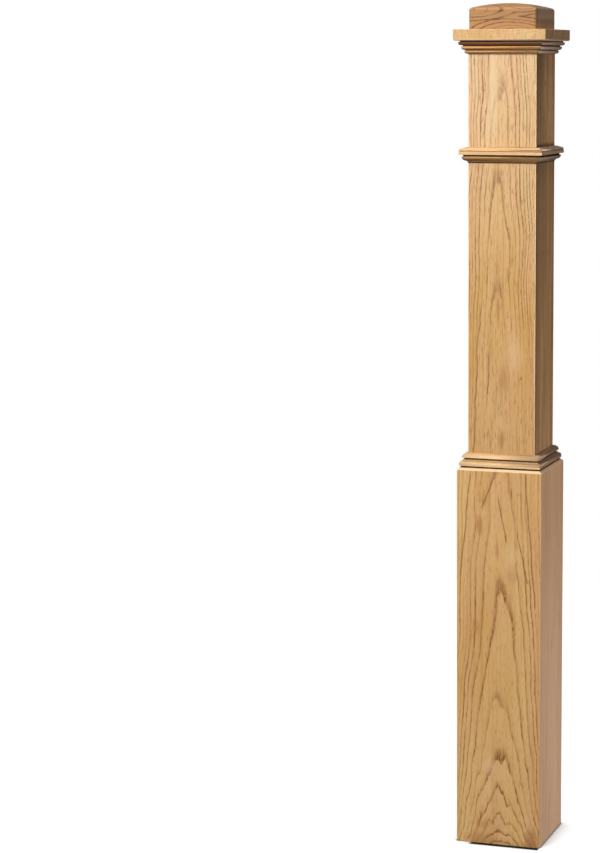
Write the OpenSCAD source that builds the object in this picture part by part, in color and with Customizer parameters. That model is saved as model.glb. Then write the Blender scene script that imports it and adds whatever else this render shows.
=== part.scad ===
// Box newel post for a staircase, in millimetres.
// Four mitred boards make a hollow square shaft. Four thicker-set boards wrap its foot
// as a lower box. Mitred mouldings run round it at three heights, and a plate with a
// crowned block closes the top. The post stands on its underside, +Z up.

/* [Shaft] */
// Width of the square shaft across its flats
shaft_w = 127; // [120:1:134]
// Thickness of the four shaft boards
shaft_board_t = 19.05; // [16:0.05:22]
// Height of the shaft from the floor to the cap plate
shaft_h = 1482; // [1450:1:1600]

/* [Lower box] */
// Width of the lower box across its flats
base_w = 160.3; // [158:0.1:166]
// Height of the lower box
base_h = 710; // [400:1:900]
// Size of the 45 degree chamfer round the top of the lower box
base_chamfer = 4; // [1:0.5:4.5]

/* [Base collar] */
// How far the seat strip at the foot of the collar stands out
collar_seat_out = 11.6; // [9:0.1:12]
// Height of the seat strip
collar_seat_h = 1.8; // [1:0.1:3]
// How far the lower nose of the collar stands out
collar_nose_out = 13.4; // [12.5:0.1:15]
// Height of the flat of the lower nose
collar_nose_h = 5.2; // [3:0.1:8]
// Radius of the round above the lower nose
collar_round_r = 5.6; // [3:0.1:6]
// Height of the neck between the two rounds
collar_neck_h = 5.2; // [3:0.1:8]
// Radius of the quarter round that meets the shaft
collar_top_r = 9.4; // [8.5:0.1:11]

/* [Rail band] */
// Height of the underside of the band above the floor
band_z = 1264.8; // [1000:0.1:1380]
// How far the fillet at the foot of the band stands out
band_fillet_out = 1.8; // [1:0.1:3]
// Height of that fillet
band_fillet_h = 3; // [2:0.1:5]
// How far the under-round stands out
band_ovolo_out = 9.8; // [9:0.1:11]
// Radius of the under-round
band_ovolo_r = 8; // [5:0.1:8.5]
// Height of the under-round with the flat above it
band_ovolo_h = 12; // [10:0.1:14]
// How far the nosing stands out
band_nose_out = 14.1; // [12:0.1:16]
// Height of the flat front of the nosing
band_fascia_h = 6.6; // [4:0.1:9]
// Depth of the fine groove above the flat front
band_quirk_d = 0.9; // [0.5:0.1:1.5]
// Height of that groove
band_quirk_h = 0.9; // [0.5:0.1:1.5]
// How far the rounded top of the nosing stands out
band_top_out = 13.8; // [11.7:0.1:15.7]
// Radius of the rounded top of the nosing
band_top_r = 6.1; // [4:0.1:8]

/* [Cap moulding] */
// How far the lowest of the three steps stands out
low_step_out = 5.6; // [4.8:0.1:7]
// Height of the lowest step
low_step_h = 6.8; // [5:0.1:9]
// Radius of the lowest step's rounded lower edge
low_step_r = 4.4; // [2:0.1:4.6]
// How far the middle step stands out
mid_step_out = 10.3; // [9:0.1:12]
// Height of the middle step
mid_step_h = 8.2; // [6:0.1:10]
// Radius of the middle step's rounded lower edge
mid_step_r = 4.7; // [2:0.1:5.5]
// How far the top step stands out
top_step_out = 14.5; // [13:0.1:17]
// Height of the top step
top_step_h = 8; // [6:0.1:10]
// Radius of the top step's rounded lower edge
top_step_r = 3.5; // [1:0.1:5.5]

/* [Cap] */
// Width of the square cap plate
plate_w = 171; // [168:1:190]
// Thickness of the cap plate
plate_t = 20; // [15:0.5:25]
// Width of the square block on the plate
block_w = 126; // [110:1:140]
// Height of the block's upright sides
block_side_h = 37; // [25:1:60]
// Rise of the crown from the block's sides to its middle
block_crown = 10; // [4:0.5:20]

/* [Hidden] */
SIDES = ["front", "right", "back", "left"];
RUNS = [
    "shaft_board", "base_board", "collar_moulding", "band_moulding", "cap_moulding"
];

base_board_t = (base_w - shaft_w) / 2;
collar_neck_out = collar_nose_out - collar_round_r;
collar_nose_top = collar_seat_h + collar_nose_h + collar_round_r;
collar_neck_top = collar_nose_top + collar_neck_h;
collar_h = collar_neck_top + collar_top_r;
band_ovolo_top = band_fillet_h + band_ovolo_h;
band_fascia_top = band_ovolo_top + band_fascia_h;
band_quirk_top = band_fascia_top + band_quirk_h;
band_h = band_quirk_top + band_top_r;
mid_step_top = low_step_h + mid_step_h;
cap_moulding_h = mid_step_top + top_step_h;
crown_r = (pow(block_w / 2, 2) + pow(block_crown, 2)) / (2 * block_crown);
wedge_reach = plate_w;

SHAFT_OAK = [0.85, 0.68, 0.46];
BASE_OAK = [0.80, 0.61, 0.38];
MOULDING_OAK = [0.83, 0.61, 0.38];
PLATE_OAK = [0.90, 0.75, 0.50];
BLOCK_OAK = [0.76, 0.56, 0.38];

$fn = 96;

// The corner that is cut away to leave a quarter circle of radius r about the origin
module corner_waste(r) {
    difference() {
        square(2 * r);
        circle(r = r);
    }
}

// A strip's section: x runs out from the post, y runs up. Its outer lower and upper
// corners may be rounded.
module strip(out, h, round_low = 0, round_top = 0) {
    difference() {
        square([out, h]);
        if (round_low > 0)
            translate([out - round_low, round_low])
                mirror([0, 1])
                    corner_waste(round_low);
        if (round_top > 0)
            translate([out - round_top, h - round_top])
                corner_waste(round_top);
    }
}

// Runs a section along one side of a square of width inner_w, with both ends
// cut at 45 degrees so that the four sides meet in mitres. Side 0 is the front.
module mitred_side(side, inner_w, z, h) {
    rotate([0, 0, 90 * side])
        intersection() {
            translate([0, -inner_w / 2, z])
                rotate([90, 0, -90])
                    linear_extrude(height = 2 * wedge_reach, center = true)
                        children();
            translate([0, 0, z])
                linear_extrude(height = h)
                    polygon([[0, 0], [-wedge_reach, -wedge_reach], [wedge_reach, -wedge_reach]]);
        }
}

// The shaft boards reach from the floor to the plate, inside the lower box too
module shaft_board(side) {
    color(SHAFT_OAK)
        mitred_side(side, shaft_w - 2 * shaft_board_t, 0, shaft_h)
            square([shaft_board_t, shaft_h]);
}

module base_board(side) {
    color(BASE_OAK)
        mitred_side(side, shaft_w, 0, base_h)
            polygon([
                [0, 0],
                [base_board_t, 0],
                [base_board_t, base_h - base_chamfer],
                [base_board_t - base_chamfer, base_h],
                [0, base_h]
            ]);
}

// Two rounds above each other, each over a thin shadow line
module collar_section() {
    strip(collar_seat_out, collar_seat_h);
    translate([0, collar_seat_h])
        strip(collar_nose_out, collar_nose_h + collar_round_r, round_top = collar_round_r);
    translate([0, collar_nose_top])
        strip(collar_neck_out, collar_neck_h);
    translate([0, collar_neck_top])
        strip(collar_top_r, collar_top_r, round_top = collar_top_r);
}

module collar_moulding(side) {
    color(MOULDING_OAK)
        mitred_side(side, shaft_w, base_h, collar_h)
            collar_section();
}

// Fillet and under-round below, nosing with a flat front and a rounded top above
module band_section() {
    strip(band_fillet_out, band_fillet_h);
    translate([0, band_fillet_h])
        strip(band_ovolo_out, band_ovolo_h, round_low = band_ovolo_r);
    translate([0, band_ovolo_top])
        strip(band_nose_out, band_fascia_h);
    translate([0, band_fascia_top])
        strip(band_nose_out - band_quirk_d, band_quirk_h);
    translate([0, band_quirk_top])
        strip(band_top_out, band_top_r, round_top = band_top_r);
}

module band_moulding(side) {
    color(MOULDING_OAK)
        mitred_side(side, shaft_w, band_z, band_h)
            band_section();
}

// Three steps, each standing further out than the one below it
module cap_section() {
    strip(low_step_out, low_step_h, round_low = low_step_r);
    translate([0, low_step_h])
        strip(mid_step_out, mid_step_h, round_low = mid_step_r);
    translate([0, mid_step_top])
        strip(top_step_out, top_step_h, round_low = top_step_r);
}

module cap_moulding(side) {
    color(MOULDING_OAK)
        mitred_side(side, shaft_w, shaft_h - cap_moulding_h, cap_moulding_h)
            cap_section();
}

module cap_plate() {
    color(PLATE_OAK)
        translate([-plate_w / 2, -plate_w / 2, shaft_h])
            cube([plate_w, plate_w, plate_t]);
}

// A barrel arc that crowns the block across one direction
module crown_barrel(turn) {
    rotate([0, 0, turn])
        translate([0, 0, shaft_h + plate_t + block_side_h + block_crown - crown_r])
            rotate([90, 0, 0])
                cylinder(r = crown_r, h = 2 * block_w, center = true);
}

module cap_block() {
    color(BLOCK_OAK)
        intersection() {
            translate([-block_w / 2, -block_w / 2, shaft_h + plate_t])
                cube([block_w, block_w, block_side_h + block_crown]);
            crown_barrel(0);
            crown_barrel(90);
        }
}

for (side = [0:3]) {
    shaft_board(side);
    base_board(side);
    collar_moulding(side);
    band_moulding(side);
    cap_moulding(side);
}
cap_plate();
cap_block();
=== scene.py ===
"""Oak box newel post: boards, mitred mouldings, cap plate and crowned block."""

import math

import bmesh
import bpy
from mathutils import Matrix, Vector


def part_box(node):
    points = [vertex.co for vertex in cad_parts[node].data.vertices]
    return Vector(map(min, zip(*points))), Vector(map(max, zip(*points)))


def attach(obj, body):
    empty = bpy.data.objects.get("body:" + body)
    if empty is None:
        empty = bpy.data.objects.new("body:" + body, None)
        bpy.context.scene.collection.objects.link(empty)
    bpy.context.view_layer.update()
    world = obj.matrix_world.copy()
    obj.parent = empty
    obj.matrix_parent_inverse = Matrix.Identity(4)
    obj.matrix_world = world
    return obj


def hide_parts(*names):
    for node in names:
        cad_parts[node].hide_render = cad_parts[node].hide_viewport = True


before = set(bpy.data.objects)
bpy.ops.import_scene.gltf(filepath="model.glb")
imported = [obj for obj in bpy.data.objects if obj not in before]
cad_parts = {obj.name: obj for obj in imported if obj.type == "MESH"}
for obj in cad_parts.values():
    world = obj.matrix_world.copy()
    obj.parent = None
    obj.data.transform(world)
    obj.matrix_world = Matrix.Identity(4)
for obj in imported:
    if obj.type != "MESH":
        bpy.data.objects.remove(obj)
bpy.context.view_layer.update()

# ---------------------------------------------------------------- sizes

MM = 0.001
SLACK = 0.01 * MM  # points closer than this are taken as one
X, Z = 0, 2  # axes, by their place in a vector
SIDES = ("front", "right", "back", "left")  # each a quarter turn on from the one before

shaft_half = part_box("shaft_board_front")[1].x
base_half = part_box("base_board_front")[1].x
socket_half = -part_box("shaft_board_front")[1].y

# Easing of the arrises, as a sanding block leaves them
BOARD_EASING = 1.0 * MM
EDGE_EASING = 0.45 * MM  # on the mouldings, and under the lower box's chamfer
PLATE_EASING = 0.9 * MM
PLATE_LOWER_EASING = 3.0 * MM
BLOCK_EASING = 4.5 * MM

BASE_CHAMFER = 4.0 * MM
CROWN_RISE = 10.0 * MM
CROWN_CUTS = 20
BLOCK_EASING_STEPS = 4

MITRE_GAP = 0.06 * MM  # half the hairline at each mitre of the mouldings
OVERRUN = 1.2  # a moulding is run this much too long, then mitred to length
ROUND_STEPS = 14

# Sections of the mouldings in mm, as (out from the shaft, up from the underside).
# A corner with a third value is rounded to that radius. A quirk is a narrow
# groove under a round, which draws a dark line along the moulding.
QUIRK = 3.2
QUIRK_DEPTH = 2.4
COLLAR_QUIRK_TOP = 17.8
BAND_QUIRK_TOP = 15.0
BAND_RECESS = 2.2


def quirk(face, top, high=QUIRK, deep=QUIRK_DEPTH):
    """Corners of a quirk cut back from a member's face, up to the member above."""
    return (face, top - high), (face - deep, top - high), (face - deep, top)


COLLAR_SECTION = (
    (0.0, 0.0),
    (13.4 - QUIRK_DEPTH, 0.0),
    (13.4 - QUIRK_DEPTH, QUIRK),
    (13.4, QUIRK),
    (13.4, 12.6, 5.6),
    (7.8, 12.6),
    *quirk(7.8, COLLAR_QUIRK_TOP),
    (9.4, COLLAR_QUIRK_TOP),
    (9.4, 27.2, 9.4),
    (0.0, 27.2),
)
BAND_SECTION = (
    (0.0, 0.0),
    (0.4, 0.0),
    (0.4, BAND_RECESS),
    (2.2, BAND_RECESS),
    (2.2, 4.0),
    (9.8, 4.0, 7.4),
    *quirk(9.8, BAND_QUIRK_TOP),
    (14.1, BAND_QUIRK_TOP),
    (14.1, 20.8),
    (12.9, 20.8),
    (12.9, 21.8),
    (13.8, 21.8),
    (13.8, 24.6, 1.8),
    (3.0, 28.6, 6.0),
    (0.0, 28.6),
)
CAP_SECTION = (
    (0.0, 0.0),
    (5.6, 0.0, 4.4),
    *quirk(5.6, 6.8, high=1.1, deep=1.4),
    (10.3, 6.8, 4.7),
    *quirk(10.3, 15.0, high=2.0),
    (14.5, 15.0, 3.5),
    *quirk(14.5, 23.0, high=2.2),
    (0.0, 23.0),
)


# ---------------------------------------------------------------- shaping


def ends(edge):
    """Where an edge starts and ends."""
    return [v.co for v in edge.verts]


def runs_along(edge, axis):
    """Does the edge run along X or along Z?"""
    a, b = ends(edge)
    return abs(a[axis] - b[axis]) > 0.9 * (a - b).length


def top_edges(bm, top):
    """The edges round a piece's upper face."""
    return [e for e in bm.edges if min(c.z for c in ends(e)) > top - MM]


def ease(bm, edges, size, segments):
    """Rounds edges and shades them smooth, or chamfers them when there is one segment."""
    made = bmesh.ops.bevel(
        bm,
        geom=list(edges),
        offset=size,
        offset_type="OFFSET",
        segments=segments,
        profile=0.5,
        affect="EDGES",
        clamp_overlap=True,
        material=-1,
    )
    for face in made["faces"]:
        face.smooth = segments > 1


def saw(bm, point, normal):
    """Cuts away what lies on the normal's side and closes the cut with a flat face."""
    cut = bmesh.ops.bisect_plane(
        bm,
        geom=bm.verts[:] + bm.edges[:] + bm.faces[:],
        plane_co=point,
        plane_no=normal,
        clear_outer=True,
    )
    edges = [e for e in cut["geom_cut"] if isinstance(e, bmesh.types.BMEdge)]
    if edges:
        made = bmesh.ops.contextual_create(bm, geom=edges)
        for face in made["faces"]:
            face.smooth = False


def mitre(bm, gap=0.0):
    """Cuts both ends of the front side at 45 degrees, each short by the gap."""
    for hand in (-1, 1):
        across = Vector((hand, 1, 0)).normalized()
        saw(bm, across * -gap, across)


def block_of(low, high):
    """A squared block between two corners."""
    bm = bmesh.new()
    bmesh.ops.create_cube(bm, size=1)
    size = Vector(high) - Vector(low)
    bmesh.ops.scale(bm, vec=size, verts=bm.verts)
    bmesh.ops.translate(bm, vec=(Vector(low) + Vector(high)) / 2, verts=bm.verts)
    return bm


def finish_piece(bm, name, turn, node, material):
    """Turns a front piece to its side and hands it over in place of its CAD node."""
    if turn:
        bmesh.ops.rotate(
            bm,
            cent=(0, 0, 0),
            matrix=Matrix.Rotation(math.radians(90 * turn), 3, "Z"),
            verts=bm.verts,
        )
    bmesh.ops.recalc_face_normals(bm, faces=bm.faces)
    mesh = bpy.data.meshes.new(name)
    bm.to_mesh(mesh)
    bm.free()
    piece = bpy.data.objects.new(name, mesh)
    bpy.context.scene.collection.objects.link(piece)
    mesh.materials.append(material)
    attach(piece, "root")
    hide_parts(node)


def board(run, inner_half, chamfer):
    """One mitred board of a square box, as a bmesh on the front side."""
    low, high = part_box(f"{run}_front")
    half = high.x
    bm = block_of((-half, -half, low.z), (half, half, high.z))
    if chamfer:
        ease(bm, top_edges(bm, high.z), chamfer, 1)
        ridge = high.z - chamfer
        rim = [e for e in bm.edges if all(abs(c.z - ridge) < SLACK for c in ends(e))]
        ease(bm, rim, EDGE_EASING, 2)
    most = 0.5 * (high.z - low.z)
    arrises = [e for e in bm.edges if runs_along(e, Z) and e.calc_length() > most]
    ease(bm, arrises, BOARD_EASING, 4)
    mitre(bm)
    saw(bm, (0, -inner_half, 0), (0, 1, 0))
    return bm


def moulding(run, section):
    """One mitred length of a moulding, as a bmesh on the front side."""
    low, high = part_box(f"{run}_front")
    reach = high.x * OVERRUN
    bm = bmesh.new()
    corners = [(corner[0] * MM, corner[1] * MM) for corner in section]
    verts = [bm.verts.new((-reach, high.y - out, low.z + up)) for out, up in corners]
    made = bmesh.ops.extrude_face_region(bm, geom=[bm.faces.new(verts)])
    far = [v for v in made["geom"] if isinstance(v, bmesh.types.BMVert)]
    bmesh.ops.translate(bm, vec=(2 * reach, 0, 0), verts=far)
    bmesh.ops.recalc_face_normals(bm, faces=bm.faces)

    def at(out, up):
        """The long edge on a corner of the section, if a round hasn't taken it away."""
        for e in bm.edges:
            v = e.verts[0].co
            near = abs(high.y - v.y - out) < SLACK and abs(v.z - low.z - up) < SLACK
            if near and runs_along(e, X):
                return e

    # Corners that point outwards are eased. Those inside a groove stay sharp.
    sharp = []
    for n in range(1, len(section) - 1):
        before, (out, up), after = corners[n - 1 : n + 2]
        bend = (out - before[0]) * (after[1] - up) - (up - before[1]) * (after[0] - out)
        if len(section[n]) == 2 and bend > 0:
            sharp.append((out, up))
    for corner in section:
        if len(corner) == 3:
            out, up, radius = (value * MM for value in corner)
            ease(bm, [at(out, up)], radius, ROUND_STEPS)
    ease(bm, [e for e in (at(*place) for place in sharp) if e], EDGE_EASING, 2)
    mitre(bm, MITRE_GAP)
    return bm


def plate():
    """Square plate with a softened lower edge."""
    low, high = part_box("cap_plate")
    bm = block_of(low, high)
    under = [e for e in bm.edges if max(c.z for c in ends(e)) < low.z + MM]
    ease(bm, under, PLATE_LOWER_EASING, 4)
    rest = [e for e in bm.edges if runs_along(e, Z) and e.calc_length() > 10 * MM]
    ease(bm, rest + top_edges(bm, high.z), PLATE_EASING, 3)
    return bm


def crowned_block():
    """The block, its arrises rounded, crowned both ways so that four hips meet."""
    low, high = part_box("cap_block")
    half = high.x
    bm = block_of(low, high)
    inner = half - BLOCK_EASING
    marks = [inner * (2 * n / CROWN_CUTS - 1) for n in range(CROWN_CUTS + 1)]
    for step in range(1, BLOCK_EASING_STEPS):
        turn = math.radians(45 * step / BLOCK_EASING_STEPS)
        reach = inner + BLOCK_EASING * math.tan(turn)
        marks += [reach, -reach]
    cuts = [(axis, place) for axis in (Vector((1, 0, 0)), Vector((0, 1, 0))) for place in marks]
    cuts += [(Vector((1, hand, 0)).normalized(), 0) for hand in (1, -1)]
    cuts += [(Vector((0, 0, 1)), high.z + place - half) for place in marks if place >= inner]
    for axis, place in cuts:
        bmesh.ops.bisect_plane(
            bm, geom=bm.verts[:] + bm.edges[:] + bm.faces[:], plane_co=axis * place, plane_no=axis
        )
    radius = (half**2 + CROWN_RISE**2) / (2 * CROWN_RISE)
    for v in bm.verts:
        # The core is the block less its easing, and each point is drawn in to a ball round it
        core = Vector((
            max(-inner, min(inner, v.co.x)),
            max(-inner, min(inner, v.co.y)),
            min(high.z - BLOCK_EASING, v.co.z),
        ))
        out = v.co - core
        if out.length > 0:
            v.co = core + out * (max(abs(c) for c in out) / out.length)
        across = max(abs(v.co.x), abs(v.co.y))
        crown = radius - math.sqrt(radius**2 - across**2)
        v.co.z -= crown * (v.co.z - low.z) / (high.z - low.z)
    bm.normal_update()
    for f in bm.faces:
        f.smooth = f.normal.z > -0.5
    for e in bm.edges:
        a, b = ends(e)
        on_hip = all(abs(abs(c.x) - abs(c.y)) < SLACK and abs(c.x) < inner for c in (a, b))
        e.smooth = not (on_hip and min(a.z, b.z) > low.z + MM)
    return bm


# ---------------------------------------------------------------- shader nodes


class Nodes:
    """Short ways of adding shader nodes to one material."""

    def __init__(self, name):
        self.material = bpy.data.materials.new(name)
        self.material.use_nodes = True
        self.tree = self.material.node_tree
        self.shader = self.tree.nodes["Principled BSDF"]

    def add(self, kind, **settings):
        """A new node with its settings."""
        node = self.tree.nodes.new("ShaderNode" + kind)
        for setting, value in settings.items():
            setattr(node, setting, value)
        return node

    def feed(self, socket, value):
        """Links a socket to another, or sets its value."""
        if isinstance(value, bpy.types.NodeSocket):
            self.tree.links.new(value, socket)
        else:
            socket.default_value = value

    def math(self, operation, *values):
        """The result of a sum on sockets or numbers."""
        node = self.add("Math", operation=operation)
        for socket, value in zip(node.inputs, values):
            self.feed(socket, value)
        return node.outputs[0]

    def plus(self, a, b):
        return self.math("ADD", a, b)

    def minus(self, a, b):
        return self.math("SUBTRACT", a, b)

    def times(self, a, b):
        return self.math("MULTIPLY", a, b)

    def reach(self, a, b):
        """How far off a point is that lies a one way and b the other."""
        return self.math("SQRT", self.plus(self.times(a, a), self.times(b, b)))

    def centred(self, noise):
        """The noise, moved so that its middle is 0."""
        return self.minus(noise, 0.5)

    def fade(self, value, start, end, low=0.0, high=1.0):
        """Low before start, high after end, and smooth between them."""
        node = self.add("MapRange", interpolation_type="SMOOTHSTEP")
        for socket, given in zip(node.inputs, (value, start, end, low, high)):
            self.feed(socket, given)
        return node.outputs[0]

    def between(self, value, low, high, soft=0.25 * MM):
        """1 from low to high, and 0 outside them."""
        inside = self.fade(value, low - soft, low + soft)
        return self.times(inside, self.fade(value, high - soft, high + soft, 1.0, 0.0))

    def blend(self, factor, a, b):
        """Colour a where the factor is 0, and b where it is 1."""
        node = self.add("Mix", data_type="RGBA")
        self.feed(node.inputs[0], factor)
        self.feed(node.inputs[6], (*a, 1) if isinstance(a, tuple) else a)
        self.feed(node.inputs[7], (*b, 1) if isinstance(b, tuple) else b)
        return node.outputs[2]

    def split(self, vector):
        """The three parts of a place."""
        node = self.add("SeparateXYZ")
        self.feed(node.inputs[0], vector)
        return node.outputs[:]

    def join(self, x, y, z):
        """A place from its three parts."""
        node = self.add("CombineXYZ")
        for socket, value in zip(node.inputs, (x, y, z)):
            self.feed(socket, value)
        return node.outputs[0]

    def noise(self, place, per_metre, seed, detail=2.0, roughness=0.5):
        """Noise with so many swells a metre across, into and along the grain."""
        spread = self.add("VectorMath", operation="MULTIPLY_ADD")
        self.feed(spread.inputs[0], place)
        spread.inputs[1].default_value = per_metre
        spread.inputs[2].default_value = (seed * 3.17, seed * 1.31, seed * 7.7)
        cloud = self.add("TexNoise")
        cloud.inputs["Scale"].default_value = 1.0
        cloud.inputs["Detail"].default_value = detail
        cloud.inputs["Roughness"].default_value = roughness
        self.feed(cloud.inputs["Vector"], spread.outputs[0])
        return cloud.outputs[0]

    def hollow(self, reach, open_above, closed_below):
        """1 under ledges and in quirks, where shade is painted."""
        facing = self.add("NewGeometry").outputs["Normal"]
        upward = self.add("VectorMath", operation="ADD")
        self.feed(upward.inputs[0], facing)
        upward.inputs[1].default_value = (0, 0, 1)
        node = self.add("AmbientOcclusion", samples=6)
        node.inputs["Distance"].default_value = reach
        self.feed(node.inputs["Normal"], upward.outputs[0])
        return self.fade(node.outputs["AO"], open_above, closed_below)

    def chance(self, number, seed):
        """One random value from 0 to 1 for each whole number."""
        node = self.add("TexWhiteNoise", noise_dimensions="1D")
        self.feed(node.inputs["W"], self.plus(number, seed * 0.37))
        return node.outputs["Value"]


# ---------------------------------------------------------------- oak

# How a log was growing where a piece was cut from it, and what colour it is.
# Lengths are in metres.
OAK = dict(
    pale=(0.77, 0.53, 0.275),
    tan=(0.64, 0.38, 0.13),
    line=(0.20, 0.07, 0.015),  # the pores of each year's porous line
    fleck=(0.33, 0.145, 0.036),  # stray pores between the lines
    warm=(0.50, 0.24, 0.062),  # the soft band behind each line, and the dark fibres
    quirk=(0.060, 0.014, 0.002),  # painted shade in grooves and corners
    wear_and_highlight=(0.90, 0.64, 0.36),  # rubbing wear along the arrises, with a painted highlight there, and the painted highlight on a chamfer
    rose=(0.70, 0.385, 0.175),
    blush=0.45,  # how strong the rose is
    heart=(0.0, 0.06),  # where the pith is: across, and behind the face
    rise=0.02,  # how fast the pith moves away from the face, going up
    sweep=(0.0, 0.03),  # how much faster near the foot, and how far up that starts
    spacing=0.0042,  # from one ring to the next
    outer=(1.0, 0.0026),  # past this radius the rings are this close
    wander=(0.010, 0.0035),  # how far the pith sways, and how far the rings swell
    ripple=0.0010,
    width=0.0017,  # of a porous line
    band=0.34,
    lines=1.0,
    streaks=1.0,
    shade=(0.007, 0.50, 0.25),  # reach, and how closed a corner is before it darkens
    seed=1.0,
)

# Noise in the wood, as swells a metre across, into and along the grain
SWAY = (6, 6, 6.5)
SWELL = (22, 22, 5)
RIPPLE = (75, 75, 16)
PORES = (900, 900, 100)
THREAD_PORES = (900, 900, 90)
STRAY_PORES = (800, 800, 62)
BREAKS = (90, 90, 11)
CLOUDS = (16, 16, 2.4)
BLUSHES = (24, 24, 5)
FIBRES = (300, 300, 5)
FUZZ = (900, 900, 30)
STREAKS = (260, 260, 2.5)
RAGGED = (420, 420, 28)
RUBBING = (40, 40, 12)
GLOSS = (30, 30, 8)

RUBBED_FROM, RUBBED_TO = 2.6 * MM, 0.4 * MM  # in from an arris, where the rubbing wear and its painted highlight start and are full
SATIN, SATIN_SPREAD, PORE_DULLNESS = 0.34, 0.16, 0.14
COAT, COAT_ROUGHNESS = 0.12, 0.3
BUMP, BUMP_DEPTH = 0.35, 0.25 * MM
FIBRE_RELIEF, LINE_RELIEF, PORE_RELIEF = 0.25, 0.6, 0.5


def ring_radius(n, place, oak):
    """Distance from the pith, which wanders as it does in a tree."""
    x, y, z = n.split(place)
    seed = oak["seed"]
    sway = n.centred(n.noise(place, SWAY, seed + 1, 1.0))
    swell = n.centred(n.noise(place, SWELL, seed + 2))
    ripple = n.centred(n.noise(place, RIPPLE, seed + 3))
    across = n.minus(x, oak["heart"][0])
    across = n.plus(across, n.times(sway, 2 * oak["wander"][0]))
    depth = n.plus(y, n.plus(n.times(z, oak["rise"]), oak["heart"][1]))
    pull, start = oak["sweep"]
    if pull:
        climb = n.math("LOGARITHM", n.plus(z, start), math.e)
        depth = n.plus(depth, n.times(climb, pull))
    radius = n.reach(across, depth)
    if "unrest" in oak:
        above, below, gain = oak["unrest"]
        ripple = n.times(ripple, n.fade(z, above, below, 1.0, gain))
    radius = n.plus(radius, n.times(swell, 2 * oak["wander"][1]))
    return n.plus(radius, n.times(ripple, 2 * oak["ripple"]))


def rings(n, radius, oak):
    """Porous line and soft band of each year's growth."""
    knee, close = oak["outer"]
    wide = oak["spacing"]
    beyond = n.math("MAXIMUM", n.minus(radius, knee), 0.0)
    index = n.plus(n.times(radius, 1 / wide), n.times(beyond, 1 / close - 1 / wide))
    phase = n.math("FRACT", index)
    year = n.math("FLOOR", index)
    step = n.fade(radius, knee, knee + MM, wide, close)
    gone = n.times(phase, step)
    # A bold year's line is up to twice as wide as a shy one's, and far darker
    bold = n.chance(year, oak["seed"])
    width = n.times(n.plus(n.times(bold, 0.6), 0.6), oak["width"])
    rise = n.fade(gone, 0.0, 0.25 * MM)
    line = n.times(n.fade(gone, n.times(width, 0.25), width, 1.0, 0.0), rise)
    line = n.times(line, n.plus(n.times(bold, 0.65), 0.35))
    band = n.fade(phase, 0.0, 0.75, 1.0, 0.0)
    band = n.times(band, n.chance(year, oak["seed"] + 5))
    return line, n.times(band, rise)


def placed(n, rotation, location):
    """The piece's own grain frame: across, into the face, along the grain."""
    coordinates = n.add("TexCoord")
    mapping = n.add("Mapping")
    mapping.inputs["Rotation"].default_value = rotation
    mapping.inputs["Location"].default_value = location
    n.feed(mapping.inputs["Vector"], coordinates.outputs["Object"])
    return mapping.outputs[0]


def grain_colour(n, place, line, band, oak, tone=None):
    """Wood colour from its rings, pores, fibre and slow changes of tone, with painted shade in
    hollows.

    Noise keeps near 0.5, so the fades that share it out lie round that.
    """
    seed = oak["seed"]
    strong, streaks = oak["lines"], oak["streaks"]
    slow = n.fade(n.noise(place, CLOUDS, seed + 8, 3.0), 0.34, 0.66)
    if tone is not None:
        slow = n.plus(n.times(slow, 0.45), n.times(tone, 0.6))
    colour = n.blend(slow, oak["pale"], oak["tan"])
    blush = n.fade(n.noise(place, BLUSHES, seed + 16), 0.42, 0.66)
    colour = n.blend(n.times(blush, oak["blush"]), colour, oak["rose"])
    colour = n.blend(n.times(band, oak["band"] * strong), colour, oak["warm"])
    fibre = n.noise(place, FIBRES, seed + 9, 3.0, 0.6)
    colour = n.blend(n.fade(fibre, 0.48, 0.75, 0.0, 0.55 * streaks), colour, oak["warm"])
    colour = n.blend(n.fade(fibre, 0.46, 0.25, 0.0, 0.40 * streaks), colour, oak["pale"])
    stray = n.fade(n.noise(place, STRAY_PORES, seed + 7), 0.55, 0.70)
    colour = n.blend(n.times(stray, 0.55 * streaks), colour, oak["fleck"])
    dashes = n.fade(n.noise(place, PORES, seed + 6), 0.38, 0.58)
    broken = n.fade(n.noise(place, BREAKS, seed + 13), 0.36, 0.54, 0.4, 1.0)
    dark = n.times(line, n.fade(dashes, 0.0, 1.0, 0.38, 1.0))
    dark = n.times(n.times(dark, broken), 1.15 * strong)
    colour = n.blend(dark, colour, oak["line"])
    # Painted shade under ledges and in grooves and corners
    reach, start, end = oak["shade"]
    shaded = n.times(n.hollow(reach, start, end), 0.92)
    return n.blend(shaded, colour, oak["quirk"]), n.times(line, dashes)


def coat(n, colour, place, line, pores, oak):
    """Satin finish over the coloured wood, sunk a little in the pores."""
    uneven = n.noise(place, GLOSS, oak["seed"] + 11, 3.0)
    gloss = n.plus(SATIN, n.times(uneven, SATIN_SPREAD))
    gloss = n.plus(gloss, n.times(line, PORE_DULLNESS))
    n.feed(n.shader.inputs["Base Color"], colour)
    n.feed(n.shader.inputs["Roughness"], gloss)
    n.shader.inputs["Coat Weight"].default_value = COAT
    n.shader.inputs["Coat Roughness"].default_value = COAT_ROUGHNESS
    fibre = n.noise(place, FUZZ, oak["seed"] + 12)
    sunk = n.plus(n.times(line, LINE_RELIEF), n.times(pores, PORE_RELIEF))
    height = n.minus(n.times(fibre, FIBRE_RELIEF), sunk)
    bump = n.add("Bump")
    bump.inputs["Strength"].default_value = BUMP
    bump.inputs["Distance"].default_value = BUMP_DEPTH
    n.feed(bump.inputs["Height"], height)
    n.feed(n.shader.inputs["Normal"], bump.outputs[0])


def leave_uncoated(n, shine):
    """Takes the clear coat off and leaves the wood this shiny."""
    n.shader.inputs["Coat Weight"].default_value = 0.0
    n.shader.inputs["Specular IOR Level"].default_value = shine


# ---------------------------------------------------------------- marks in the wood, and painted shade


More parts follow.
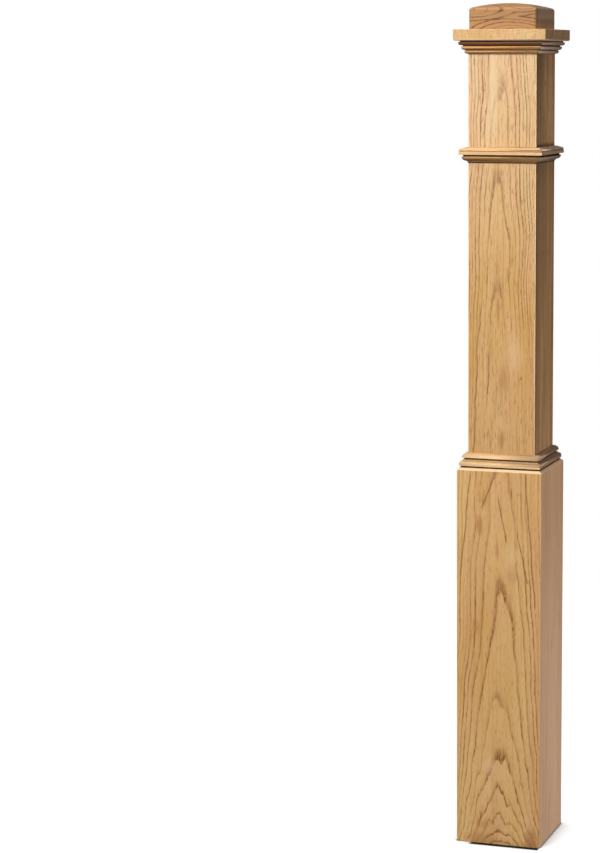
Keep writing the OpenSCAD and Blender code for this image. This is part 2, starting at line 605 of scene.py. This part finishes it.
def mark(n, place, x, z, width, height, ragged, seed):
    """A soft oval patch, 1 at its middle."""
    px, _, pz = n.split(place)
    u = n.times(n.minus(px, x), 2 / width)
    v = n.times(n.minus(pz, z), 2 / height)
    rough = n.centred(n.noise(place, RAGGED, seed, 3.0))
    away = n.plus(n.reach(u, v), n.times(rough, 2 * ragged))
    return n.fade(away, 0.15, 1.0, 1.0, 0.0)


def vein(n, place, x, lean, low, high, width, seed, sway, taper):
    """A dark thread up the grain from x at its low end, leaning as it rises."""
    px, _, pz = n.split(place)
    bend = n.centred(n.noise(n.join(0.0, 0.0, pz), (1, 1, 22), seed))
    middle = n.plus(n.times(n.minus(pz, low), lean), n.times(bend, 2 * sway))
    away = n.math("ABSOLUTE", n.minus(n.minus(px, x), middle))
    thread = n.fade(away, 0.1 * width, width, 1.0, 0.0)
    dashes = n.noise(place, THREAD_PORES, seed + 3)
    thread = n.times(thread, n.fade(dashes, 0.35, 0.60, 0.55, 1.0))
    thread = n.times(thread, n.fade(pz, low, low + 0.1 * taper))
    return n.times(thread, n.fade(pz, high - taper, high, 1.0, 0.0))


def lay_patches(n, place, colour, patches):
    """Lays soft ragged patches over the colour."""
    for x, z, width, height, depth, tone, seed in patches:
        patch = mark(n, place, x, z, width, height, 0.5, seed)
        colour = n.blend(n.times(patch, depth), colour, tone)
    return colour


def lay_threads(n, place, colour, threads, tone, width, sway, taper):
    """Lays thin leaning threads over the colour."""
    for x, lean, low, high, seed in threads:
        thread = vein(n, place, x, lean, low, high, width, seed, sway, taper)
        colour = n.blend(n.times(thread, 0.95), colour, tone)
    return colour


# Patches are (across, up, width, height, depth, colour, seed), and threads are
# (across at the low end, lean, low end, high end, seed), in metres on the face.
SHAFT_BROWN = (0.44, 0.20, 0.05)
SHAFT_CREAM = (0.78, 0.55, 0.30)
SHAFT_PATCHES = (
    (0.004, 0.872, 0.030, 0.075, 0.65, SHAFT_BROWN, 1.0),
    (0.000, 0.762, 0.016, 0.055, 0.90, SHAFT_BROWN, 2.0),
    (-0.007, 1.000, 0.009, 0.080, 0.85, SHAFT_BROWN, 3.0),
    (-0.020, 0.925, 0.016, 0.060, 0.35, SHAFT_BROWN, 4.0),
    (-0.017, 1.390, 0.026, 0.240, 0.42, SHAFT_CREAM, 6.0),
    (0.026, 0.920, 0.040, 0.100, 0.30, SHAFT_CREAM, 7.0),
)
SHAFT_KNOT = (0.037, 0.877, 0.0045, 0.009)
SHAFT_KNOT_BROWN = (0.16, 0.065, 0.02)
SHAFT_THREADS = (
    (-0.053, 0.045, 0.735, 1.02, 2.0),
    (-0.025, 0.020, 0.845, 0.935, 5.0),
)
SHAFT_THREAD_BROWN = (0.25, 0.10, 0.022)

BASE_BROWN = (0.46, 0.21, 0.05)
BASE_DEEP = (0.26, 0.10, 0.025)
BASE_CREAM = (0.80, 0.53, 0.27)
BASE_FOXY = (0.56, 0.29, 0.12)
BASE_FOOT_BROWN = (0.40, 0.16, 0.05)
BASE_PATCHES = (
    (-0.036, 0.606, 0.020, 0.050, 0.80, BASE_BROWN, 1.0),
    (0.026, 0.512, 0.040, 0.040, 0.50, BASE_FOXY, 2.0),
    (-0.043, 0.412, 0.022, 0.045, 0.60, BASE_BROWN, 3.0),
    (-0.027, 0.655, 0.012, 0.050, 0.65, BASE_BROWN, 4.0),
    (-0.003, 0.562, 0.012, 0.060, 0.60, BASE_BROWN, 5.0),
    (0.026, 0.550, 0.040, 0.050, 0.40, BASE_CREAM, 6.0),
    (-0.016, 0.150, 0.036, 0.060, 0.45, BASE_CREAM, 7.0),
    (-0.018, 0.105, 0.026, 0.040, 0.40, BASE_CREAM, 8.0),
    (-0.036, 0.010, 0.080, 0.036, 0.60, BASE_BROWN, 9.0),
    (0.064, 0.012, 0.040, 0.070, 0.75, BASE_FOOT_BROWN, 10.0),
    (-0.026, 0.036, 0.040, 0.034, 0.55, BASE_BROWN, 11.0),
    (0.024, 0.666, 0.004, 0.026, 0.9, BASE_DEEP, 12.0),
    (0.0145, 0.584, 0.003, 0.022, 0.7, BASE_DEEP, 13.0),
    (0.036, 0.590, 0.004, 0.024, 0.8, BASE_DEEP, 14.0),
    (-0.031, 0.650, 0.004, 0.028, 0.6, BASE_DEEP, 15.0),
)
BASE_THREADS = (
    (0.0145, -0.18, 0.575, 0.670, 1.0),
    (0.056, -0.22, 0.500, 0.592, 4.0),
    (-0.032, 0.36, 0.636, 0.712, 7.0),
    (-0.073, 0.10, 0.510, 0.712, 10.0),
    (0.070, -0.082, 0.455, 0.712, 13.0),
)
BASE_THREAD_BROWN = (0.25, 0.09, 0.018)


def shaft_front_marks(n, place, colour):
    """Pin knot, mineral patches and the two long threads low on the shaft."""
    colour = lay_patches(n, place, colour, SHAFT_PATCHES)
    knot = mark(n, place, *SHAFT_KNOT, 0.1, 4.0)
    colour = n.blend(n.times(knot, 0.9), colour, SHAFT_KNOT_BROWN)
    return lay_threads(n, place, colour, SHAFT_THREADS, SHAFT_THREAD_BROWN, 2.1 * MM, 4 * MM, 30 * MM)


def base_front_marks(n, place, colour):
    """Patches between the arches, their dark tips, and the threads beside them."""
    colour = lay_patches(n, place, colour, BASE_PATCHES)
    return lay_threads(n, place, colour, BASE_THREADS, BASE_THREAD_BROWN, 2.0 * MM, 3 * MM, 20 * MM)


def shaft_right_shading(n, place, colour):
    """Painted shade, darker towards the front arris and darkest in a narrow line next to it, broken
    by streaks of the grain.
    """
    x = n.split(place)[0]
    front = -shaft_half
    slow = n.fade(x, front, 0.03, 0.62, 1.0)
    thin = n.fade(x, front + 1.0 * MM, front + 6.0 * MM, 0.45, 1.0)
    streak = n.fade(n.noise(place, STREAKS, 51.0), 0.32, 0.68, 0.70, 1.30)
    shade = n.add("VectorMath", operation="SCALE")
    n.feed(shade.inputs[0], colour)
    n.feed(shade.inputs["Scale"], n.times(n.times(slow, streak), thin))
    return shade.outputs[0]


# ---------------------------------------------------------------- boards

# Beside what OAK says, a board may have:
# fall: the heights between which pale turns to tan, going down
# calm: the height where the rings are faint, the height where they are full, how faint
# unrest: the heights between which the ripples grow, going down, and how many times
SHAFT_SIDE = dict(
    pale=(1.0, 0.565, 0.26),
    tan=(0.49, 0.265, 0.110),
    fall=(1.31, 1.26),
    line=(0.22, 0.10, 0.034),
    fleck=(0.30, 0.14, 0.052),
    warm=(0.40, 0.19, 0.073),
    wear_and_highlight=(0.62, 0.38, 0.20),
    rose=(0.50, 0.27, 0.125),
    heart=(-0.02, 0.16),
    rise=0.004,
    spacing=0.006,
    lines=0.35,
    streaks=1.2,
)
BASE_SIDE = dict(
    pale=(0.77, 0.46, 0.255),
    tan=(0.67, 0.38, 0.20),
    line=(0.42, 0.215, 0.10),
    fleck=(0.52, 0.28, 0.14),
    warm=(0.58, 0.32, 0.16),
    wear_and_highlight=(0.76, 0.49, 0.29),
    rose=(0.70, 0.41, 0.225),
    heart=(0.03, 0.2),
    rise=0.006,
    spacing=0.007,
    lines=0.3,
    streaks=1.0,
)
SHAFT_FRONT = dict(
    pale=(0.70, 0.475, 0.235),
    tan=(0.615, 0.335, 0.085),
    heart=(-0.006, 0.046),
    rise=0.018,
    spacing=0.0034,
    wander=(0.010, 0.0022),
    ripple=0.0007,
    width=0.0014,
    band=0.24,
    fall=(1.45, 0.95),
    calm=(0.94, 1.01, 0.30),
    streaks=1.35,
    seed=1.0,
)
BASE_SWEEP = 0.0104
BASE_FRONT = dict(
    pale=(0.75, 0.458, 0.178),
    tan=(0.655, 0.358, 0.105),
    line=(0.26, 0.085, 0.010),
    warm=(0.54, 0.245, 0.045),
    wear_and_highlight=(0.84, 0.57, 0.31),
    heart=(0.004, 0.105 - BASE_SWEEP * math.log(0.048)),
    rise=0.0,
    sweep=(BASE_SWEEP, 0.030),
    spacing=0.0046,
    outer=(0.136, 0.0032),
    wander=(0.010, 0.0015),
    ripple=0.0008,
    unrest=(0.26, 0.04, 4.0),
    calm=(0.60, 0.46, 0.60),
    width=0.0015,
    band=0.34,
    lines=1.1,
    seed=6.0,
)
SHAFT_WOODS = {
    "front": (SHAFT_FRONT, shaft_front_marks),
    "right": (dict(SHAFT_SIDE, seed=2.0), shaft_right_shading),
    "back": (dict(heart=(0.02, 0.07), rise=0.015, lines=0.8, seed=3.0), None),
    "left": (dict(SHAFT_SIDE, heart=(0.03, 0.12), lines=0.5, seed=4.0), None),
}
BASE_WOODS = {
    "front": (BASE_FRONT, base_front_marks),
    "right": (dict(BASE_SIDE, seed=7.0), None),
    "back": (dict(heart=(-0.01, 0.05), rise=0.05, lines=0.8, seed=8.0), None),
    "left": (dict(BASE_SIDE, heart=(-0.04, 0.14), lines=0.45, seed=9.0), None),
}


def board_oak(name, turn, face, oak, marks, planed):
    """Oak for an upright board.

    face is how far its outside is from the post's middle, and planed is the height
    where its chamfer starts, if it has one.
    """
    oak = {**OAK, **oak}
    n = Nodes(name)
    place = placed(n, (0, 0, math.radians(-90 * turn)), (0, face, 0))
    line, band = rings(n, ring_radius(n, place, oak), oak)
    x, _, z = n.split(place)
    tone = None
    if "fall" in oak:
        top, foot = oak["fall"]
        tone = n.fade(z, top, foot)
    if "calm" in oak:
        low, high, least = oak["calm"]
        quiet = n.fade(z, low, high, least, 1.0)
        line = n.times(line, quiet)
        band = n.times(band, quiet)
    colour, pores = grain_colour(n, place, line, band, oak, tone)
    # Painted highlight on the chamfer
    if planed:
        chamfer_highlight = n.fade(z, planed - 0.5 * MM, planed)
        colour = n.blend(n.times(chamfer_highlight, 0.85), colour, oak["wear_and_highlight"])
    # Rubbing wear along the arrises, with a painted highlight there
    rubbed_and_highlit = n.fade(n.math("ABSOLUTE", x), face - RUBBED_FROM, face - RUBBED_TO)
    uneven = n.fade(n.noise(place, RUBBING, oak["seed"] + 15), 0.30, 0.55, 0.35, 1.0)
    colour = n.blend(n.times(n.times(rubbed_and_highlit, uneven), 0.7), colour, oak["wear_and_highlight"])
    if marks:
        colour = marks(n, place, colour)
    coat(n, colour, place, line, pores, oak)
    return n.material


for turn, side in enumerate(SIDES):
    for run, inner_half, chamfer, woods, title in (
        ("shaft_board", socket_half, 0, SHAFT_WOODS, "shaft"),
        ("base_board", shaft_half, BASE_CHAMFER, BASE_WOODS, "base"),
    ):
        oak, marks = woods[side]
        face, _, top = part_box(f"{run}_front")[1]
        planed = top - chamfer if chamfer else None
        wood = board_oak(f"{side}_{title}_oak", turn, face, oak, marks, planed)
        shape = board(run, inner_half, chamfer)
        finish_piece(shape, f"{side}_{title}_plank", turn, f"{run}_{side}", wood)


# ---------------------------------------------------------------- mouldings

# Members painted darker, as the shade under a ledge and on rounds that turn down, are
# (bottom, top, depth), in mm up the section, strongest at the bottom, and the quirks,
# painted dark as the shade in the grooves, are (bottom, top). A quirk that is open
# below starts at BELOW, and the cap's topmost ones run on past its section.
BELOW = -1.0
MOULDING_SHINE = 0.2
MOULDING = dict(
    heart=(0.05, 0.12),
    rise=0.03,
    spacing=0.005,
    wander=(0.004, 0.002),
    lines=0.2,
    streaks=0.55,
    shade=(0.003, 0.60, 0.34),
)
COLLAR = dict(
    MOULDING,
    pale=(0.84, 0.57, 0.30),
    tan=(0.77, 0.48, 0.24),
    rose=(0.82, 0.49, 0.25),
    member_shade=(0.24, 0.085, 0.020),
    shaded_members=((12.6, 14.6, 0.3),),
    quirks=((BELOW, QUIRK), (COLLAR_QUIRK_TOP - QUIRK, COLLAR_QUIRK_TOP)),
)
BAND = dict(
    MOULDING,
    pale=(0.86, 0.60, 0.33),
    tan=(0.76, 0.47, 0.22),
    member_shade=(0.50, 0.215, 0.028),
    shaded_members=((4.0, 11.8, 0.95), (20.8, 21.8, 0.5)),
    quirks=((BELOW, BAND_RECESS), (BAND_QUIRK_TOP - QUIRK, BAND_QUIRK_TOP)),
)
CAP = dict(
    MOULDING,
    pale=(0.90, 0.49, 0.175),
    tan=(0.80, 0.40, 0.125),
    member_shade=(0.18, 0.060, 0.012),
    shaded_members=((0.0, 2.4, 0.5), (6.8, 9.4, 0.6), (15.0, 40.0, 0.92)),
    quirks=((5.7, 6.8), (13.0, 15.0), (20.8, 24.0)),
)
# What changes on the right and left faces: colours set for the shade those faces stand in, as painted
# shade
SHADED_COLLAR_SIDE = dict(
    pale=(0.36, 0.235, 0.155),
    tan=(0.30, 0.19, 0.125),
    rose=(0.32, 0.20, 0.135),
    member_shade=(0.40, 0.27, 0.185),
)
SHADED_BAND_SIDE = dict(
    pale=(0.60, 0.425, 0.30),
    tan=(0.50, 0.34, 0.235),
    rose=(0.54, 0.36, 0.25),
    member_shade=(0.40, 0.27, 0.185),
)
SHADED_CAP_SIDE = dict(
    pale=(0.74, 0.55, 0.40),
    tan=(0.64, 0.46, 0.33),
    rose=(0.68, 0.49, 0.35),
    member_shade=(0.50, 0.36, 0.26),
    quirk=(0.15, 0.09, 0.055),
)


def moulding_oak(name, turn, run, oak):
    """Oak with its grain along a moulding's length, with painted shade on some members and in the
    quirks.
    """
    oak = {**OAK, **oak}
    low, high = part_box(f"{run}_front")
    n = Nodes(name)
    lay = Matrix.Rotation(math.radians(90), 3, "Y")
    along = lay @ Matrix.Rotation(math.radians(-90 * turn), 3, "Z")
    place = placed(n, along.to_euler("XYZ"), Vector((-low.z, -low.y, 0)))
    line, band = rings(n, ring_radius(n, place, oak), oak)
    colour, pores = grain_colour(n, place, line, band, oak)
    up = n.split(place)[0]
    # Painted shade on members under a ledge or on rounds that turn down, strongest at their bottom
    for bottom, top, depth in oak["shaded_members"]:
        fading = n.fade(up, bottom * MM, top * MM, depth, 0.2 * depth)
        member = n.times(n.between(up, bottom * MM, top * MM), fading)
        colour = n.blend(member, colour, oak["member_shade"])
    # Painted shade in the quirks
    for bottom, top in oak["quirks"]:
        groove = n.between(up, bottom * MM, top * MM)
        colour = n.blend(n.times(groove, 0.96), colour, oak["quirk"])
    coat(n, colour, place, line, pores, oak)
    leave_uncoated(n, MOULDING_SHINE)
    return n.material


for turn, side in enumerate(SIDES):
    for run, section, title, oak, side_shade in (
        ("collar_moulding", COLLAR_SECTION, "collar", COLLAR, SHADED_COLLAR_SIDE),
        ("band_moulding", BAND_SECTION, "band", BAND, SHADED_BAND_SIDE),
        ("cap_moulding", CAP_SECTION, "cap_moulding", CAP, SHADED_CAP_SIDE),
    ):
        oak = dict(oak, seed=10.0 + 3 * turn + len(title))
        # The right and left faces take shaded colours: painted shade
        if side in ("right", "left"):
            oak.update(side_shade)
        wood = moulding_oak(f"{side}_{title}_oak", turn, run, oak)
        shape = moulding(run, section)
        finish_piece(shape, f"{side}_{title}", turn, f"{run}_{side}", wood)


# ---------------------------------------------------------------- plate

PLATE = dict(
    pale=(0.64, 0.425, 0.150),
    tan=(0.57, 0.335, 0.085),
    heart=(0.03, 0.2),
    rise=0.01,
    spacing=0.0045,
    lines=0.3,
    streaks=0.7,
    seed=30.0,
    rays=(0.44, 0.22, 0.065),  # which show as flecks on the front edge
    lip_highlight=(1.0, 0.68, 0.40),  # painted highlight on the eased lower edge
    sides=((0.66, 0.40, 0.225), (0.40, 0.24, 0.135)),  # long grain on the right and left faces, paler and darker, both dark as painted shade
)
RAYS = (250, 45, 6)
SIDE_GRAIN = (40, 40, 230)
RAY_CENTRE = 0.30  # the rays fan out from this far below the plate's top
LIP_HIGHLIGHT_FROM, LIP_HIGHLIGHT_TO = 3.6 * MM, 2.0 * MM  # up from the underside, the band of the painted highlight


def plate_oak():
    """Grain from front to back, so the front edge shows end grain, with painted shade on the right
    and left faces and a painted highlight on the eased lower edge.
    """
    oak = {**OAK, **PLATE}
    low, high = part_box("cap_plate")
    n = Nodes("top_plate_oak")
    rotation = Matrix.Rotation(math.radians(90), 3, "X").to_euler("XYZ")
    place = placed(n, rotation, (0, high.z, 0))
    line, band = rings(n, ring_radius(n, place, oak), oak)
    colour, pores = grain_colour(n, place, line, band, oak)
    x, down, back = n.split(place)
    fan = n.math("DIVIDE", x, n.minus(RAY_CENTRE, down))
    rays = n.fade(n.noise(n.join(fan, down, back), RAYS, 31.0, 1.0), 0.46, 0.66)
    colour = n.blend(n.times(rays, 0.85), colour, oak["rays"])
    thick = high.z - low.z
    # Painted highlight on the eased lower edge
    lip_highlight = n.fade(down, thick - LIP_HIGHLIGHT_FROM, thick - LIP_HIGHLIGHT_TO)
    colour = n.blend(n.times(lip_highlight, 0.8), colour, oak["lip_highlight"])
    # Painted shade on the right and left faces, over their long grain
    side = n.fade(n.math("ABSOLUTE", x), high.x - 1.2 * MM, high.x - 0.2 * MM)
    cross = n.fade(n.noise(place, SIDE_GRAIN, 33.0), 0.38, 0.62)
    colour = n.blend(n.times(side, 0.8), colour, n.blend(cross, *oak["sides"]))
    coat(n, colour, place, line, pores, oak)
    return n.material


finish_piece(plate(), "top_plate", 0, "cap_plate", plate_oak())

# ---------------------------------------------------------------- crowned block

BLOCK = dict(
    pale=(0.44, 0.235, 0.080),
    tan=(0.35, 0.175, 0.055),
    rose=(0.40, 0.19, 0.064),
    line=(0.09, 0.038, 0.012),
    fleck=(0.24, 0.10, 0.04),
    warm=(0.33, 0.145, 0.055),
    spacing=0.0054,
    width=0.0020,
    band=0.5,
    lines=1.1,
    streaks=0.8,
    shade=(0.004, 0.50, 0.25),
    seed=41.0,
    crown_shade=(0.30, 0.145, 0.05),  # painted shade on the crown, above the shoulder
    flank_wall_shade=((0.78, 0.555, 0.40), (0.44, 0.31, 0.225)),  # painted shade on the flanks, at their foot and at their shoulder
    flank_shade=(0.20, 0.125, 0.08),  # painted shade on the flanks' part of the crown
    side_shade=(0.10, 0.045, 0.02),  # painted shade on the flanks next to the front arris
)
# Swirls in the grain: across, up, how flat it lies, and how blunt its middle is
SWIRLS = (
    (-0.012, -0.005, 0.30, 0.0),
    (0.075, 0.036, 0.22, 0.001),
    (-0.040, 0.052, 0.50, 0.0),
)
SWIRL_SWELL = (35, 20, 14)
SWIRL_RIPPLE = (120, 60, 50)
SWIRL_MERGE = 0.005
BLOCK_SHINE = 0.25


def swirls(n, place, up, into, across):
    """Distance from the middle of the nearest swirl, where they melt into each other."""
    swell = n.centred(n.noise(place, SWIRL_SWELL, 42.0))
    ripple = n.centred(n.noise(place, SWIRL_RIPPLE, 43.0))
    field = None
    for swirl_across, swirl_up, flat, blunt in SWIRLS:
        u = n.times(n.minus(across, swirl_across), flat)
        v = n.minus(n.plus(up, n.times(into, 0.2)), swirl_up)
        away = n.plus(n.reach(u, v), blunt)
        field = away if field is None else n.math("SMOOTH_MIN", field, away, SWIRL_MERGE)
    return n.plus(field, n.plus(n.times(swell, 0.006), n.times(ripple, 0.0012)))


def block_oak():
    """Swirling grain, as in wood cut across a crotch, with plainer grain on the flanks, and painted
    shade on the flanks and crown.
    """
    oak = {**OAK, **BLOCK}
    low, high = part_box("cap_block")
    n = Nodes("crowned_block_oak")
    along = Matrix.Rotation(math.radians(90), 3, "Y")
    place = placed(n, along.to_euler("XYZ"), (-low.z, high.x, 0))
    up, into, across = n.split(place)
    line, band = rings(n, swirls(n, place, up, into, across), oak)
    middle = n.math("ABSOLUTE", n.minus(into, high.x))
    sideways = n.minus(n.math("ABSOLUTE", across), middle)
    end = n.fade(sideways, -0.5 * MM, 0.5 * MM)
    line = n.times(line, n.fade(end, 0.0, 1.0, 1.0, 0.25))
    colour, pores = grain_colour(n, place, line, band, oak)
    # Painted shade: the crown a little darker, the flanks far darker and graded from foot to shoulder
    shoulder = high.z - low.z - CROWN_RISE
    crown_shade = n.fade(up, shoulder - 4 * MM, shoulder + 4 * MM)
    colour = n.blend(n.times(crown_shade, 0.4), colour, oak["crown_shade"])
    flank_wall_shade = n.blend(n.fade(up, 0.0, shoulder), *oak["flank_wall_shade"])
    flank_shade = n.blend(crown_shade, flank_wall_shade, oak["flank_shade"])
    colour = n.blend(n.times(end, 0.75), colour, flank_shade)
    # Painted shade in a dark strip on the flanks next to the front arris
    side_shade = n.times(end, n.fade(into, 2.0 * MM, 7.0 * MM, 0.75, 0.0))
    colour = n.blend(side_shade, colour, oak["side_shade"])
    coat(n, colour, place, line, pores, oak)
    leave_uncoated(n, BLOCK_SHINE)
    return n.material


finish_piece(crowned_block(), "crowned_block", 0, "cap_block", block_oak())

# ---------------------------------------------------------------- studio

FLOOR_RADIUS = 2.2
WHITE_FROM, WHITE_TO = 0.35, 1.4  # how far out the paper turns plain white
FLOOR_BOUNCE, FLOOR_GLOW = 0.28, 1.1  # what the paper lights the post with, and shows
PAPER = (0.9, 0.9, 0.9)
CONTACT_SHADOW_BLACK = (0.01, 0.01, 0.01)
CONTACT_SHADOW_WIDTH = 16 * MM  # painted contact shadow, a dark line where the front edge meets the floor
SOFT_SHADE = (0.05, 0.8, 0.4)  # reach, and how closed a place is before it darkens
TOUCH_SHADE = (0.006, 0.85, 0.6)
SURROUND_LIGHT = 0.03


def contact_shadow_strip(n, x, y):
    """1 on the strip of floor in front of the lower box, but for its left end, and 0 off it: where a
    contact shadow is painted.
    """
    front = n.fade(y, -base_half - CONTACT_SHADOW_WIDTH, -base_half - 0.6 * CONTACT_SHADOW_WIDTH)
    front = n.times(front, n.fade(y, 0, MM, 1, 0))
    front = n.times(front, n.fade(x, -0.75 * base_half, -0.6 * base_half))
    return n.times(front, n.fade(x, base_half - MM, base_half + MM, 1, 0))


def floor_white():
    """White paper that brightens away to the plain white of the studio, with a painted contact shadow
    at the post's foot.
    """
    n = Nodes("studio_floor")
    place = n.add("TexCoord").outputs["Object"]
    x, y, _ = n.split(place)
    away = n.add("VectorMath", operation="LENGTH")
    n.feed(away.inputs[0], place)
    glow = n.add("Emission")
    seen = n.add("LightPath").outputs["Is Camera Ray"]
    n.feed(glow.inputs["Strength"], n.fade(seen, 0.0, 1.0, FLOOR_BOUNCE, FLOOR_GLOW))
    clear = n.fade(away.outputs["Value"], WHITE_FROM, WHITE_TO, 0.88, 1.0)
    soft = n.times(clear, n.minus(1.0, n.hollow(*SOFT_SHADE)))
    # Painted contact shadow: black where the post meets the floor, and on the strip in front
    contact_shadow = n.math("MAXIMUM", n.hollow(*TOUCH_SHADE), contact_shadow_strip(n, x, y))
    n.feed(n.shader.inputs["Base Color"], n.blend(contact_shadow, PAPER, CONTACT_SHADOW_BLACK))
    n.shader.inputs["Roughness"].default_value = 0.9
    n.shader.inputs["Specular IOR Level"].default_value = 0.1
    mix = n.add("MixShader")
    n.feed(mix.inputs[0], n.times(soft, n.minus(1.0, contact_shadow)))
    n.feed(mix.inputs[1], n.shader.outputs[0])
    n.feed(mix.inputs[2], glow.outputs[0])
    n.feed(n.tree.nodes["Material Output"].inputs["Surface"], mix.outputs[0])
    return n.material


def lay_floor():
    """The round sheet of paper that the post stands on."""
    bm = bmesh.new()
    bmesh.ops.create_circle(bm, cap_ends=True, radius=FLOOR_RADIUS, segments=96)
    mesh = bpy.data.meshes.new("floor")
    bm.to_mesh(mesh)
    bm.free()
    floor = bpy.data.objects.new("floor", mesh)
    bpy.context.scene.collection.objects.link(floor)
    mesh.materials.append(floor_white())


def area_light(name, place, aim, size, power):
    """A softbox at one place, aimed at another."""
    data = bpy.data.lights.new(name, "AREA")
    data.shape = "RECTANGLE"
    data.size, data.size_y = size
    data.energy = power
    lamp = bpy.data.objects.new(name, data)
    lamp.location = place
    lamp.rotation_euler = (Vector(aim) - Vector(place)).to_track_quat("-Z", "Y").to_euler()
    bpy.context.scene.collection.objects.link(lamp)


def white_surround():
    """A world that looks white, and lights the post only a little."""
    world = bpy.data.worlds.new("studio")
    world.use_nodes = True
    bpy.context.scene.world = world
    tree = world.node_tree
    back = tree.nodes["Background"]
    back.inputs["Color"].default_value = (1, 1, 1, 1)
    path = tree.nodes.new("ShaderNodeLightPath")
    level = tree.nodes.new("ShaderNodeMapRange")
    level.inputs["To Min"].default_value = SURROUND_LIGHT
    level.inputs["To Max"].default_value = 1.0
    tree.links.new(path.outputs["Is Camera Ray"], level.inputs["Value"])
    tree.links.new(level.outputs["Result"], back.inputs["Strength"])


lay_floor()
area_light("key_softbox", (-1.3, -2.1, 3.0), (0, 0, 1.2), (0.8, 0.8), 95)
area_light("front_softbox", (-0.9, -3.2, 1.6), (0, 0, 0.8), (1.6, 1.6), 36)
area_light("right_softbox", (1.4, 0.1, 0.35), (0, 0, 0.30), (0.5, 0.5), 8.6)
area_light("overhead_softbox", (0, 0.3, 3.6), (0, 0, 0), (2.4, 2.4), 52)
white_surround()
bpy.context.scene.view_settings.view_transform = "Standard"

# ---------------------------------------------------------------- camera

CAMERA_TURN = 15.856  # degrees to the right of straight on
CAMERA_DISTANCE = 4.375
CAMERA_HEIGHT = 1.4446
CAMERA_TILT = 8.924  # degrees down
CAMERA_PAN = 1.236  # degrees left of the post's axis
CAMERA_LENS, CAMERA_SENSOR = 100.94, 36
CAMERA_SHIFT = (-0.1874, 0.0128)


def place_camera():
    """A long lens from the front right, shifted so that the post stands at the right."""
    turn = math.radians(CAMERA_TURN)
    data = bpy.data.cameras.new("camera")
    data.sensor_width = CAMERA_SENSOR
    data.lens = CAMERA_LENS
    data.shift_x, data.shift_y = CAMERA_SHIFT
    camera = bpy.data.objects.new("camera", data)
    camera.location = (
        math.sin(turn) * CAMERA_DISTANCE,
        -math.cos(turn) * CAMERA_DISTANCE,
        CAMERA_HEIGHT,
    )
    camera.rotation_euler = (
        math.radians(90 - CAMERA_TILT),
        0,
        math.radians(CAMERA_TURN + CAMERA_PAN),
    )
    bpy.context.scene.collection.objects.link(camera)
    bpy.context.scene.camera = camera


place_camera()
